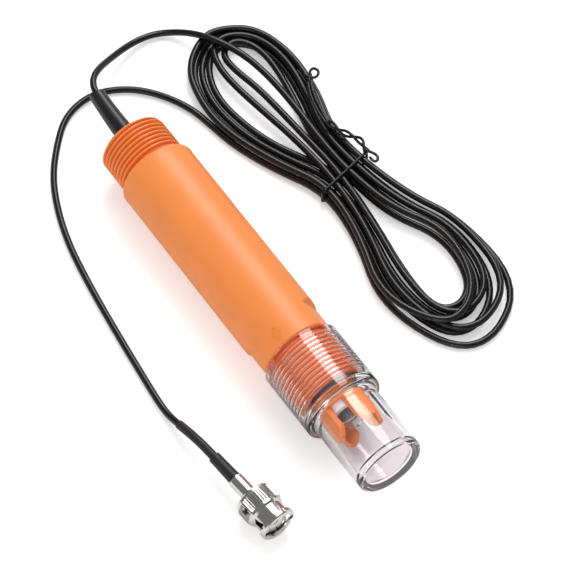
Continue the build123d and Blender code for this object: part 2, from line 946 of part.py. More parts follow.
crimp_ferrule.part.label = "crimp_ferrule"
export_step(crimp_ferrule.part, "parts/crimp_ferrule.step")


# Thick sleeve, shrunk against the back of the ferrule
sleeve_back = ferrule_back - sleeve_length
with BuildPart() as connector_sleeve:
    with BuildSketch(plug_section(sleeve_back)):
        Circle(sleeve_back_diameter / 2)
    with BuildSketch(plug_section(ferrule_back)):
        Circle(sleeve_front_diameter / 2)
    loft(ruled=True)

connector_sleeve.part.label = "connector_sleeve"
export_step(connector_sleeve.part, "parts/connector_sleeve.step")


# Thin sleeve, which bends down towards the surface
with BuildPart() as cable_sleeve:
    with BuildLine() as sleeve_line:
        FilletPolyline(*thin_sleeve_route, radius=corner_radii(thin_sleeve_route))
    with BuildSketch(start_plane(thin_sleeve_route)):
        Circle(thin_sleeve_diameter / 2)
    sweep(path=sleeve_line.wires()[0])

cable_sleeve.part.label = "cable_sleeve"
export_step(cable_sleeve.part, "parts/cable_sleeve.step")
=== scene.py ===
import json
from math import atan2, ceil, cos, hypot, pi, radians, sin, sqrt, tau

import bmesh
import bpy
from bpy.props import FloatProperty, IntProperty, PointerProperty
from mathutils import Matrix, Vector


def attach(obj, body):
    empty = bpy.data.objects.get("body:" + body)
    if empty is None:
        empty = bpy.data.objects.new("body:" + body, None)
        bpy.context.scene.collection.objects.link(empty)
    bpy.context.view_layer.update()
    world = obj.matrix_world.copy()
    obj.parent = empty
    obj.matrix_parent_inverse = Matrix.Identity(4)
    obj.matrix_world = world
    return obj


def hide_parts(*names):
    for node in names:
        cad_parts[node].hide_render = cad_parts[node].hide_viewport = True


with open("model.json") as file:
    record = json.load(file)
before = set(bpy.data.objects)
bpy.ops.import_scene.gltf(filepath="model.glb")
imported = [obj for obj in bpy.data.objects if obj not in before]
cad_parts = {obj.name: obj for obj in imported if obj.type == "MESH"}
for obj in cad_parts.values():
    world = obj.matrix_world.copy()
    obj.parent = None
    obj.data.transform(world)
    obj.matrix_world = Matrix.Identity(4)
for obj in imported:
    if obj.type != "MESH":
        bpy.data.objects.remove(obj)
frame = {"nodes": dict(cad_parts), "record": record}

bl_info = {
    "name": "pH electrode looks",
    "version": (1, 0, 0),
    "blender": (4, 5, 0),
    "location": "3D View > Sidebar > Electrode",
    "description": "Builds the visible pieces, the cable, the materials and the stage of the pH electrode",
    "category": "Object",
}

MM = 0.001
# The electrode's axis lies this high over the floor, in millimetres
AXIS_HEIGHT = 15.1
# Both threads: their pitch, the length between two rows of points, and what blunts their ends
PITCH = 25.4 / 14
THREAD_STEP = PITCH / 12
THREAD_CHAMFER = 0.35
# The rows that become the body's thread lie this far below its root, which tells them from all others
THREAD_BLANK = 0.02
# From the root to the crest, as shares of half the pitch
THREAD_FLANK = (0.14, 0.80)
# Whole turns that keep the thread's phase above 0
TURNS_AHEAD = 100.0
# The length over which a thread rises at its ends
BODY_THREAD_RUN, CAP_THREAD_RUN = 1.3, 1.0

# The body's stations along the axis and its fixed radii, in millimetres; the shoulder leaves its foot in
# the direction of its rise
REAR_X, REAR_THREAD_END, SHOULDER_END = -69.5, -53.45, -50.6
SHOULDER_FOOT, SHOULDER_RISE = 13.0, (0.15, 1)
FLATS_START, FLATS_RAMP, BARREL_END = 26.0, 2.15, 39.4
FRONT_THREAD_START, FRONT_THREAD_END, NOSE_END = 40.0, 60.6, 66.0
# Where the rows of the threads keep off their ends, and the length between two rows of the barrel
THREAD_INSET, FRONT_THREAD_LEAD, BARREL_STEP, FLATS_STEP = 0.7, 0.5, 4.0, 0.2
# The edge of the barrel at the front thread, and that of the nose
BARREL_CHAMFER, NOSE_CHAMFER = 0.4, 0.25
NOSE_RADIUS, NOSE_BORE, BODY_BORE, REAR_BORE = 9.4, 7.2, 9.6, 10.2
BORE_START, BORE_END = -55.5, 56.0
# One prong: half its width along it, its outer and inner radius, and its columns from edge to edge
PRONG_OUTLINE = ((65.0, 3.55), (74.4, 3.55), (75.2, 3.35), (77.2, 2.0), (77.75, 1.6), (78.0, 1.2))
PRONG_RADII = (9.4, 7.6)
PRONG_COLUMNS = tuple(i / 5 for i in range(-5, 6))
PRONG_BEVEL = 0.35
# The outline arrow: its line along and across the barrel, half the line's width, and its foot and top
ARROW_LINE = (
    (32.2, -0.75), (34.4, -0.75), (34.4, -1.65), (36.9, 0.0), (34.4, 1.65), (34.4, 0.75), (32.2, 0.75),
)
ARROW_HALF_WIDTH, ARROW_LEVELS = 0.16, (-0.1, 0.16)
# The line's corners reach no further out than a corner with this cosine
SHARPEST_CORNER = 0.35

# The cap's thread, shallower than the body's so that it passes the rubber ring on its way off
CAP_THREAD_ROOT, CAP_THREAD_CREST = 12.62, 13.15
CAP_THREAD_START, CAP_THREAD_END = 41.7, 60.7

# Meshes: points nearer than this, in metres, become one, and edges shorter than this go
MERGE_DISTANCE, SHORTEST_EDGE = 1e-7, 1e-8
# Edges sharper than this, in degrees, stay sharp: turned shells, bevelled prongs, wires
SHELL_ANGLE, PRONG_ANGLE, WIRE_ANGLE = 32.0, 40.0, 60.0

# Looks: where most of a noise pattern's values lie, how far polish varies, how high the grain stands
NOISE_RANGE = (0.3, 0.7)
POLISH_SPREAD = 0.12
GRAIN_HEIGHT = 0.00004
# Light that clear pieces let through to what they shade
SHADOW_LIGHT = 0.93
# Radii between which the painted shade in the grooves of the body's threads fades out, its strength, and where threads
# end
GROOVE_SHADE_RADII, GROOVE_SHADE_STRENGTH, GROOVE_SHADE_END = (12.1, 12.9), 0.9, 61.0
# Colour of the painted shade in the thread grooves
GROOVE_SHADE_COLOR = (0.72, 0.10, 0.012, 1)
# Sockets of a Mix node that is set to colours
MIX_FACTOR, MIX_FIRST, MIX_SECOND, MIX_RESULT = 0, 6, 7, 2

# The camera: the direction to it from its target, which is in millimetres, and its distance in metres
CAMERA_DIRECTION, CAMERA_TARGET, CAMERA_DISTANCE = (0.4507, -0.3042, 0.8392), (4.73, 16.88, 0.0), 1.219
# Both lights: what they shine on and how far they stand, in metres; the second one's share of the power
LIGHT_TARGET, LIGHT_DISTANCE = (0, 0.02, 0), 0.9
SIDE_LIGHT_SHARE = 0.35
# The floor: half its side and its depth below 0, in metres, and its glow to the camera
FLOOR_REACH, FLOOR_DROP, FLOOR_GLOW = 4, 0.0002, 0.35
# Through glass the surrounding darkens to this at the horizon, between these heights; in gloss it is dim
HORIZON_HEIGHTS, HORIZON_LIGHTS = (0.15, 0.75), (0.12, 1.0)
GLOSSY_FILL = 0.2

# The cable, in millimetres: from inside the boot over the left end of the hank to its pinch
LEAD_POINTS = (
    (-92.5, 0.75, 15.1), (-94.2, 0.9, 15.1), (-98.4, 1.7, 15.1), (-102.1, 4.1, 14.5),
    (-105.5, 8.6, 12.8), (-109.2, 15.3, 9.1), (-112.8, 22.9, 5.4), (-115.1, 30.9, 2.7),
    (-114.7, 38.4, 1.7), (-111.0, 44.7, 2.2), (-105.0, 48.5, 5.4), (-98.6, 52.2, 7.0),
    (-92.0, 55.9, 6.9), (-83.6, 59.1, 6.6), (-73.5, 60.8, 6.5), (-62.0, 61.4, 6.5),
    (-50.0, 61.3, 6.5), (-40.0, 61.0, 6.1), (-31.0, 61.2, 5.6),
)
# From the hank along the surface and through the sleeves into the ferrule
TAIL_POINTS = (
    (-55.0, 35.2, 1.3), (-66.5, 33.2, 1.4), (-78.2, 31.1, 1.5), (-90.0, 25.4, 1.3),
    (-99.5, 16.6, 1.3), (-104.7, 4.2, 1.3), (-101.6, -8.9, 1.3), (-92.6, -18.3, 1.3),
    (-80.8, -27.6, 1.3), (-67.2, -33.9, 1.3), (-52.6, -38.3, 1.3), (-37.6, -40.9, 1.3),
    (-22.6, -42.9, 1.3), (-7.6, -44.6, 1.3), (6.4, -46.0, 1.3), (16.6, -47.0, 1.3),
    (23.9, -47.6, 1.5), (29.3, -47.6, 2.3), (34.2, -47.2, 4.0), (40.3, -46.7, 6.1),
    (46.8, -46.02, 7.3), (53.5, -45.34, 7.3), (62.0, -44.48, 7.3),
)
# Stations round the hank, clockwise from the pinch: the innermost and the outermost turn at each
HANK_STATIONS = (
    ((-21.2, 60.9), (-22.9, 69.9)), ((1.6, 64.5), (-0.4, 76.6)), ((19.7, 75.2), (17.4, 85.6)),
    ((40.1, 72.8), (52.0, 86.9)), ((47.9, 64.0), (66.7, 65.3)), ((43.0, 55.1), (60.5, 49.5)),
    ((25.6, 54.9), (30.5, 40.1)), ((3.5, 57.7), (4.8, 48.9)), ((-22.7, 59.9), (-19.1, 50.7)),
    ((-43.3, 48.8), (-38.0, 41.3)), ((-57.5, 44.0), (-61.6, 32.5)), ((-75.6, 41.4), (-76.3, 32.7)),
    ((-89.0, 46.0), (-92.8, 37.5)), ((-94.3, 52.4), (-102.8, 51.2)), ((-93.9, 58.6), (-101.8, 60.1)),
    ((-88.2, 64.5), (-94.3, 71.2)), ((-78.0, 67.8), (-76.5, 75.8)), ((-59.9, 64.9), (-58.9, 74.2)),
    ((-42.5, 60.6), (-42.4, 68.8)),
)
# For each turn, how far out it lies at each station (0 innermost, 1 outermost)
HANK_SHARES = (
    (0.10, 0.06, 0.04, 0.02, 0.20, 0.62, 0.97, 0.92, 0.85, 0.85, 0.78, 0.78, 0.88, 0.93, 0.95, 0.95, 0.90, 0.88, 0.86),
    (0.85, 0.82, 0.80, 0.74, 0.66, 0.62, 0.56, 0.50, 0.48, 0.30, 0.05, -0.04, 0.02, 0.27, 0.52, 0.58, 0.54, 0.50, 0.48),
    (0.47, 0.46, 0.44, 0.38, 0.28, 0.20, 0.14, 0.12, 0.13, 0.0, 0.0, 0.0, 0.0, 0.0, 0.0, 0.0, -0.05, 0.0, 0.0),
    (0.0, 0.0, 0.0, 0.0, 0.0, 0.06, 0.03, 0.0, 0.0, 0.0, 0.0, 0.0, 0.06, 0.16, 0.22, 0.30, 0.34, 0.34, 0.34),
    (0.34, 0.31, 0.30, 0.22, 0.27, 0.32, 0.34, 0.34, 0.33, 0.32, 0.31, 0.32, 0.38, 0.46, 0.55, 0.63, 0.67, 0.67, 0.67),
    (0.67, 0.63, 0.60, 0.48, 0.56, 0.70, 0.68, 0.67, 0.66, 0.62, 0.60, 0.62, 0.70, 0.80, 0.90, 0.97, 1.0, 1.0, 1.0),
    (1.0, 0.96, 0.93, 0.94, 0.97, 1.0, 1.0, 1.0, 1.0, 1.0),
)
# Where two of the turns leave their lanes, to cross the left eye: by turn and station
HANK_PLACED = {
    (1, 9): (-43.0, 54.1), (1, 10): (-57.0, 52.1), (1, 11): (-73.0, 49.6), (1, 12): (-85.0, 48.8),
    (1, 13): (-95.0, 51.2), (1, 14): (-98.6, 58.6), (2, 9): (-42.0, 57.6), (2, 10): (-58.0, 56.8),
    (2, 11): (-71.5, 55.6), (2, 12): (-82.5, 53.2), (2, 13): (-91.4, 53.2), (2, 14): (-94.6, 60.2),
    (2, 15): (-88.4, 65.6),
}
# How high each turn lies at each station: three in an upper layer, four on the surface; the first turn
# crosses over others, and the third comes down to the lower layer
UPPER_TURNS, CROSSING_TURN, DESCENT_TURN = 3, 0, 2
UPPER_LAYER = (5.1, 4.3, 3.9, 3.9, 3.9, 3.9, 3.9, 4.3, 5.1, 4.3, 3.9, 3.9, 3.9, 3.9, 3.9, 3.9, 3.9, 3.9, 4.3)
LOWER_LAYER = (2.5, 1.7, 1.3, 1.3, 1.3, 1.3, 1.3, 1.7, 2.5, 1.7, 1.3, 1.3, 1.3, 1.3, 1.3, 1.3, 1.3, 1.3, 1.7)
CROSSING_HEIGHTS = {1: 5.9, 2: 6.5, 3: 6.5, 4: 6.5, 5: 6.5, 6: 5.2}
DESCENT_HEIGHTS = {15: 3.9, 16: 2.8, 17: 1.6, 18: 1.7}

# The wire tie: its turn round the pinch as (along, height), its twisted pair, its looped long end, its
# short end and the loop beside the hank
TIE_MIDDLE = (-20.1, 59.8)
TIE_TURN = 104.2
TIE_WRAP = (
    (-10.6, 0.65), (0.0, 0.65), (10.6, 0.65), (12.25, 0.9), (12.25, 3.6), (12.25, 6.3), (10.2, 6.8),
    (0.0, 6.8), (-10.2, 6.8), (-12.25, 6.3), (-12.25, 3.6), (-12.25, 0.9),
)
TIE_PAIR = (
    (-22.6, 71.3, 7.3), (-25.8, 72.2, 7.4), (-29.4, 71.9, 7.5), (-32.3, 69.9, 7.7), (-34.8, 68.6, 7.8),
    (-38.0, 67.6, 8.0), (-41.5, 66.5, 8.3),
)
TIE_END = (
    (-41.0, 66.6, 8.3), (-46.4, 67.5, 8.6), (-51.8, 68.6, 8.7), (-57.8, 70.7, 8.7), (-60.9, 73.1, 8.7),
    (-63.4, 73.6, 8.9), (-63.7, 75.8, 9.3), (-61.2, 76.6, 9.5), (-59.4, 74.6, 9.4),
    (-60.2, 72.0, 9.4), (-63.2, 71.4, 9.3),
)
TIE_SHORT_END = (
    (-41.0, 65.9, 8.2), (-46.2, 66.2, 8.4), (-51.4, 67.2, 8.5), (-57.4, 69.3, 8.5), (-59.6, 70.6, 8.6),
)
TIE_LOOP = (
    (-23.6, 71.4, 7.2), (-21.2, 72.9, 7.2), (-19.1, 73.6, 7.1), (-17.3, 72.6, 7.0), (-17.8, 70.8, 6.9),
    (-20.2, 71.0, 7.0),
)
# The twisted pair: how far each wire lies from the middle, the length of a full twist and of the steps
# along it, and the sides of a wire
PAIR_OFFSET, PAIR_PITCH, PAIR_STEP, PAIR_SIDES = 0.85, 12.6, 0.7, 10


class ELECTRODE_PG_body(bpy.types.PropertyGroup):
    """Sizes of the orange body's surface."""

    barrel_radius: FloatProperty(
        name="Barrel radius", description="Radius of the plain barrel", default=14.7 * MM, unit="LENGTH",
    )
    root_radius: FloatProperty(
        name="Thread root", description="Radius at the roots of both threads", default=12.05 * MM, unit="LENGTH",
    )
    crest_radius: FloatProperty(
        name="Thread crest", description="Radius at the crests of both threads", default=13.15 * MM, unit="LENGTH",
    )
    flats_half: FloatProperty(
        name="Half across flats", description="Distance of each wrench flat from the axis",
        default=12.95 * MM, unit="LENGTH",
    )
    roll: FloatProperty(
        name="Roll", description="Turn of the flats and prongs about the axis",
        default=radians(27.5), subtype="ANGLE",
    )
    columns: IntProperty(name="Columns", description="Vertices round the body", default=144, min=48, max=288)


class ELECTRODE_PG_cap(bpy.types.PropertyGroup):
    """Sizes of the clear storage cap."""

    thread_clearance: FloatProperty(
        name="Thread clearance", description="Gap between the two threads", default=0.1 * MM, unit="LENGTH",
    )
    columns: IntProperty(name="Columns", description="Vertices round the cap", default=120, min=48, max=240)


class ELECTRODE_PG_cord(bpy.types.PropertyGroup):
    """The cable and its wire tie."""

    diameter: FloatProperty(
        name="Diameter", description="Outer diameter of the jacket", default=2.6 * MM, unit="LENGTH",
    )
    tie_wire: FloatProperty(
        name="Tie wire", description="Outer diameter of the tie's wire", default=1.1 * MM, unit="LENGTH",
    )


class ELECTRODE_PG_stage(bpy.types.PropertyGroup):
    """Camera and light."""

    lens: FloatProperty(
        name="Lens", description="Focal length in millimetres on a 36 mm wide sensor", default=215.4,
    )
    key_power: FloatProperty(
        name="Key light", description="Power of the large soft light", default=5.5, unit="POWER",
    )
    fill_strength: FloatProperty(name="Fill", description="Strength of the surrounding light", default=0.62)


def material(name):
    """A new node material with its Principled shader."""
    made = bpy.data.materials.new(name)
    made.use_nodes = True
    return made, made.node_tree, made.node_tree.nodes["Principled BSDF"]


def noise_fac(tree, place, size, detail=2.0):
    """A noise pattern of this size in metres on the Object coordinates."""
    noise = tree.nodes.new("ShaderNodeTexNoise")
    noise.inputs["Scale"].default_value = 1 / size
    noise.inputs["Detail"].default_value = detail
    tree.links.new(place.outputs["Object"], noise.inputs["Vector"])
    return noise.outputs["Fac"]


def feed(tree, socket, value):
    """Sets an input to a number, or links a socket to it."""
    if isinstance(value, (int, float)):
        socket.default_value = value
    else:
        tree.links.new(value, socket)


def math_node(tree, operation, first, second=None):
    """A math node on two sockets or numbers; gives its output."""
    node = tree.nodes.new("ShaderNodeMath")
    node.operation = operation
    for index, value in enumerate((first, second)):
        if value is not None:
            feed(tree, node.inputs[index], value)
    return node.outputs[0]


def map_range(tree, value, source, target, kind="LINEAR"):
    """Maps a value from the source's range to the target's; gives the output."""
    node = tree.nodes.new("ShaderNodeMapRange")
    node.interpolation_type = kind
    feed(tree, node.inputs["Value"], value)
    for title, limit in zip(("From Min", "From Max", "To Min", "To Max"), (*source, *target)):
        feed(tree, node.inputs[title], limit)
    return node.outputs["Result"]


def about_axis(tree, position):
    """A position seen from the electrode's axis: X, Y, height over the axis, and radius."""
    split = tree.nodes.new("ShaderNodeSeparateXYZ")
    tree.links.new(position, split.inputs[0])
    y = split.outputs["Y"]
    height = math_node(tree, "SUBTRACT", split.outputs["Z"], AXIS_HEIGHT * MM)
    squares = [math_node(tree, "MULTIPLY", side, side) for side in (y, height)]
    return split.outputs["X"], y, height, math_node(tree, "SQRT", math_node(tree, "ADD", *squares))


def plain(name, color, roughness, metallic=0.0, bump=0.1, grain=0.0008, shade=0.08, patch=0.012):
    """A moulded, drawn or plated surface: cloudy colour, uneven polish and a fine grain."""
    made, tree, shader = material(name)
    shader.inputs["Metallic"].default_value = metallic
    place = tree.nodes.new("ShaderNodeTexCoord")
    cloud = noise_fac(tree, place, patch)
    ramp = tree.nodes.new("ShaderNodeValToRGB")
    for stop, position, change in zip(ramp.color_ramp.elements, NOISE_RANGE, (1 - shade, 1 + shade)):
        stop.position = position
        stop.color = (*(min(1.0, c * change) for c in color), 1)
    tree.links.new(cloud, ramp.inputs["Fac"])
    tree.links.new(ramp.outputs["Color"], shader.inputs["Base Color"])
    fine = noise_fac(tree, place, grain)
    polish = (roughness * (1 - POLISH_SPREAD), roughness * (1 + POLISH_SPREAD))
    tree.links.new(map_range(tree, fine, NOISE_RANGE, polish), shader.inputs["Roughness"])
    relief = tree.nodes.new("ShaderNodeBump")
    relief.inputs["Strength"].default_value = bump
    relief.inputs["Distance"].default_value = GRAIN_HEIGHT
    tree.links.new(fine, relief.inputs["Height"])
    tree.links.new(relief.outputs["Normal"], shader.inputs["Normal"])
    return made


def body_plastic():
    """Orange plastic, with painted shade: a deeper, darker orange in the grooves of both threads than on their crests.
    """
    made = plain("body_plastic", (0.87, 0.255, 0.055), 0.42, bump=0.15, grain=0.0006, shade=0.03)
    tree = made.node_tree
    base = tree.nodes["Principled BSDF"].inputs["Base Color"]
    cloudy = base.links[0].from_socket
    x, _, _, radius = about_axis(tree, tree.nodes.new("ShaderNodeTexCoord").outputs["Object"])
    # Painted shade: the thread grooves, from the root up to below the crest, get the darker colour, as far as the
    # threads reach
    groove_shade = map_range(tree, radius, [size * MM for size in GROOVE_SHADE_RADII], (GROOVE_SHADE_STRENGTH, 0.0))
    behind_nose = math_node(tree, "LESS_THAN", x, GROOVE_SHADE_END * MM)
    mix = tree.nodes.new("ShaderNodeMix")
    mix.data_type = "RGBA"
    mix.inputs[MIX_SECOND].default_value = GROOVE_SHADE_COLOR
    tree.links.new(math_node(tree, "MULTIPLY", groove_shade, behind_nose), mix.inputs[MIX_FACTOR])
    tree.links.new(cloudy, mix.inputs[MIX_FIRST])
    tree.links.new(mix.outputs[MIX_RESULT], base)
    return made


def clear(name, color, ior, roughness=0.0):
    """Clear plastic or glass that lets the light of the lamps through to what is behind it."""
    made, tree, shader = material(name)
    shader.inputs["Base Color"].default_value = (*color, 1)
    shader.inputs["Roughness"].default_value = roughness
    shader.inputs["IOR"].default_value = ior
    shader.inputs["Transmission Weight"].default_value = 1.0
    path = tree.nodes.new("ShaderNodeLightPath")
    through = tree.nodes.new("ShaderNodeBsdfTransparent")
    through.inputs["Color"].default_value = (*(SHADOW_LIGHT * c for c in color), 1)
    mix = tree.nodes.new("ShaderNodeMixShader")
    end = tree.nodes["Material Output"]
    tree.links.new(path.outputs["Is Shadow Ray"], mix.inputs[0])
    tree.links.new(shader.outputs["BSDF"], mix.inputs[1])
    tree.links.new(through.outputs["BSDF"], mix.inputs[2])
    tree.links.new(mix.outputs["Shader"], end.inputs["Surface"])
    return made


def make_materials():
    """Every material, by the record's slot."""
    return {
        "body_plastic": body_plastic(),
        "clear_plastic": clear("clear_plastic", (0.93, 0.895, 0.915), 1.5, 0.01),
        "sensor_glass": clear("sensor_glass", (0.96, 0.98, 0.985), 1.47),
        "junction_white": plain("junction_white", (0.85, 0.84, 0.81), 0.6, bump=0.3, grain=0.0003, shade=0.05),
        "resin": plain("resin", (0.012, 0.012, 0.014), 0.35),
        "seal_rubber": plain("seal_rubber", (0.008, 0.008, 0.009), 0.4),
        "boot_rubber": plain("boot_rubber", (0.010, 0.010, 0.012), 0.36, bump=0.2, grain=0.0005),
        "gasket_rubber": plain("gasket_rubber", (0.35, 0.08, 0.04), 0.5),
        "cable_jacket": plain("cable_jacket", (0.0045, 0.0045, 0.005), 0.3, bump=0.12, grain=0.0007),
        "tie_plastic": plain("tie_plastic", (0.008, 0.008, 0.009), 0.36),
        "sleeve_plastic": plain("sleeve_plastic", (0.014, 0.013, 0.014), 0.5, bump=0.25, grain=0.0005),
        "nickel": plain(
            "nickel", (0.74, 0.72, 0.69), 0.17, metallic=1.0, bump=0.05, grain=0.0004, shade=0.05, patch=0.003,
        ),
        "spring_steel": plain("spring_steel", (0.5, 0.5, 0.5), 0.3, metallic=1.0),
        "silver": plain("silver", (0.8, 0.79, 0.77), 0.2, metallic=1.0, bump=0.05),
        "insulator_white": plain("insulator_white", (0.82, 0.81, 0.79), 0.5, shade=0.04),
        "pin_brass": plain("pin_brass", (0.8, 0.6, 0.25), 0.2, metallic=1.0, bump=0.05),
    }


MATERIALS = {}


def placed(name, data):
    """A new object in the scene with this data."""
    made = bpy.data.objects.new(name, data)
    bpy.context.scene.collection.objects.link(made)
    return made


def mesh_object(name, points, faces, slot, floats=None):
    """A mesh from points in millimetres, with the record's slot for its finish."""
    mesh = bpy.data.meshes.new(name)
    mesh.from_pydata([Vector(p) * MM for p in points], [], faces)
    for title, values in (floats or {}).items():
        mesh.attributes.new(title, "FLOAT", "POINT").data.foreach_set("value", values)
    made = placed(name, mesh)
    mesh.materials.append(MATERIALS[slot])
    return made


def tidy_mesh(made, angle=30.0):
    """Merges what coincides, turns the faces outwards, and smooths all but the sharp edges."""
    work = bmesh.new()
    work.from_mesh(made.data)
    bmesh.ops.remove_doubles(work, verts=work.verts, dist=MERGE_DISTANCE)
    bmesh.ops.dissolve_degenerate(work, edges=work.edges, dist=SHORTEST_EDGE)
    bmesh.ops.recalc_face_normals(work, faces=work.faces)
    for face in work.faces:
        face.smooth = True
    for edge in work.edges:
        edge.smooth = len(edge.link_faces) == 2 and edge.calc_face_angle(0.0) < radians(angle)
    work.to_mesh(made.data)
    work.free()
    return made


def baked(made):
    """Replaces the object's mesh by its evaluated one, and drops the modifiers."""
    graph = bpy.context.evaluated_depsgraph_get()
    mesh = bpy.data.meshes.new_from_object(made.evaluated_get(graph), depsgraph=graph)
    made.modifiers.clear()
    old = made.data
    made.data = mesh
    bpy.data.meshes.remove(old)
    mesh.name = made.name
    return made


def joined(first, *others):
    """One object from several, keeping the first's name and slot."""
    work = bmesh.new()
    for piece in (first, *others):
        work.from_mesh(piece.data)
    work.to_mesh(first.data)
    work.free()
    for piece in others:
        bpy.data.objects.remove(piece)
    return first


def ring_points(profile, angles, radius_at=None):
    """The points of a profile of (x, radius) turned round the electrode's axis."""
    points = []
    for x, radius in profile:
        for angle in angles:
            r = radius_at(x, radius, angle) if radius_at else radius
            points.append((x, r * cos(angle), AXIS_HEIGHT + r * sin(angle)))
    return points


def ring_faces(rows, columns):
    """Quads between the rings of a turned profile that closes on itself."""
    faces = []
    for row in range(rows):
        near, far = row * columns, (row + 1) % rows * columns
        for column in range(columns):
            side = (column + 1) % columns
            faces.append((near + column, near + side, far + side, far + column))
    return faces


def group(name, *numbers):
    """A node group with a geometry in and out, numbers as inputs, and a material."""
    tree = bpy.data.node_groups.new(name, "GeometryNodeTree")
    tree.interface.new_socket("Geometry", in_out="INPUT", socket_type="NodeSocketGeometry")
    tree.interface.new_socket("Geometry", in_out="OUTPUT", socket_type="NodeSocketGeometry")
    for title in numbers:
        tree.interface.new_socket(title, in_out="INPUT", socket_type="NodeSocketFloat")
    tree.interface.new_socket("Material", in_out="INPUT", socket_type="NodeSocketMaterial")
    return tree, tree.nodes.new("NodeGroupInput"), tree.nodes.new("NodeGroupOutput")


def painted(tree, given, shape, result):
    """Ends a node group with the shape, realized, in the given material."""
    real = tree.nodes.new("GeometryNodeRealizeInstances")
    paint = tree.nodes.new("GeometryNodeSetMaterial")
    tree.links.new(shape, real.inputs[0])
    tree.links.new(real.outputs[0], paint.inputs["Geometry"])
    tree.links.new(given.outputs["Material"], paint.inputs["Material"])
    tree.links.new(paint.outputs[0], result.inputs[0])
    return tree


def thread_group():
    """A helical thread round the electrode's axis, on the points whose fade is above 0."""
    tree, given, result = group("helical_thread", "Root", "Crest", "Pitch")
    nodes, links = tree.nodes, tree.links
    x, y, height, radius = about_axis(tree, nodes.new("GeometryNodeInputPosition").outputs[0])
    turn = math_node(tree, "DIVIDE", math_node(tree, "ARCTAN2", height, y), tau)
    along = math_node(tree, "ADD", math_node(tree, "DIVIDE", x, given.outputs["Pitch"]), TURNS_AHEAD)
    phase = math_node(tree, "FRACT", math_node(tree, "SUBTRACT", along, turn))
    ridge = math_node(tree, "ABSOLUTE", math_node(tree, "SUBTRACT", math_node(tree, "MULTIPLY", phase, 2.0), 1.0))
    surface = map_range(tree, ridge, THREAD_FLANK, (given.outputs["Root"], given.outputs["Crest"]), "SMOOTHSTEP")
    fade = nodes.new("GeometryNodeInputNamedAttribute")
    fade.data_type = "FLOAT"
    fade.inputs["Name"].default_value = "fade"
    change = math_node(tree, "MULTIPLY", math_node(tree, "SUBTRACT", surface, radius), fade.outputs[0])
    scale = math_node(tree, "DIVIDE", math_node(tree, "ADD", radius, change), radius)
    place = nodes.new("ShaderNodeCombineXYZ")
    links.new(x, place.inputs["X"])
    links.new(math_node(tree, "MULTIPLY", y, scale), place.inputs["Y"])
    lifted = math_node(tree, "MULTIPLY", height, scale)
    links.new(math_node(tree, "ADD", lifted, AXIS_HEIGHT * MM), place.inputs["Z"])
    move = nodes.new("GeometryNodeSetPosition")
    links.new(given.outputs["Geometry"], move.inputs["Geometry"])
    links.new(math_node(tree, "GREATER_THAN", fade.outputs[0], 0.0), move.inputs["Selection"])
    links.new(place.outputs[0], move.inputs["Position"])
    return painted(tree, given, move.outputs[0], result)


def add_group(made, tree, **values):
    """Puts a node group on an object, with these inputs."""
    modifier = made.modifiers.new(tree.name, "NODES")
    modifier.node_group = tree
    for item in tree.interface.items_tree:
        if item.in_out == "INPUT" and item.name in values:
            modifier[item.identifier] = values[item.name]
    return made


def threaded_shell(name, profile, angles, fades, slot, root, crest, radius_at=None):
    """A turned shell with a helical thread on the rows of its profile whose fade is above 0."""
    shell = mesh_object(
        name, ring_points(profile, angles, radius_at), ring_faces(len(profile), len(angles)), slot,
        {"fade": [fade for fade in fades for _ in angles]},
    )
    tree = bpy.data.node_groups.get("helical_thread") or thread_group()
    add_group(shell, tree, Root=root * MM, Crest=crest * MM, Pitch=PITCH * MM, Material=MATERIALS[slot])
    return tidy_mesh(baked(shell), SHELL_ANGLE)


def stations(start, end, step):
    """Evenly spaced numbers from start to end, about step apart."""
    count = max(1, ceil(abs(end - start) / step))
    return [start + (end - start) * i / count for i in range(count + 1)]


def fade_at(x, start, end, run):
    """0 at both ends of a thread and 1 between, rising over a run."""
    if x < start or x > end:
        return 0.0
    return max(0.0, min(1.0, (x - start) / run, (end - x) / run))


def build_camera(settings):
    """The photograph's camera."""
    data = bpy.data.cameras.new("camera")
    data.lens = settings.lens
    data.sensor_width = 36.0
    data.clip_start, data.clip_end = 0.05, 20.0
    camera = placed("camera", data)
    view = Vector(CAMERA_DIRECTION).normalized()
    camera.location = Vector(CAMERA_TARGET) * MM + view * CAMERA_DISTANCE
    camera.rotation_euler = (-view).to_track_quat("-Z", "Y").to_euler()
    bpy.context.scene.camera = camera


def area_light(name, direction, size, power):
    """A soft rectangular light that shines on the object along a direction."""
    data = bpy.data.lights.new(name, "AREA")
    data.shape = "RECTANGLE"
    data.size, data.size_y = size
    data.energy = power
    lamp = placed(name, data)
    toward = Vector(direction).normalized()
    lamp.location = Vector(LIGHT_TARGET) + toward * LIGHT_DISTANCE
    lamp.rotation_euler = (-toward).to_track_quat("-Z", "Y").to_euler()


def build_floor():
    """A white floor that keeps a light shadow."""
    made, tree, shader = material("floor_white")
    shader.inputs["Base Color"].default_value = (0.9, 0.9, 0.9, 1)
    shader.inputs["Roughness"].default_value = 0.9
    shader.inputs["Specular IOR Level"].default_value = 0.0
    shader.inputs["Emission Color"].default_value = (1, 1, 1, 1)
    path = tree.nodes.new("ShaderNodeLightPath")
    glow = math_node(tree, "MULTIPLY", path.outputs["Is Camera Ray"], FLOOR_GLOW)
    tree.links.new(glow, shader.inputs["Emission Strength"])
    mesh = bpy.data.meshes.new("floor")
    corners = ((-1, -1), (1, -1), (1, 1), (-1, 1))
    mesh.from_pydata([(x * FLOOR_REACH, y * FLOOR_REACH, -FLOOR_DROP) for x, y in corners], [], [(0, 1, 2, 3)])
    floor = placed("floor", mesh)
    mesh.materials.append(made)


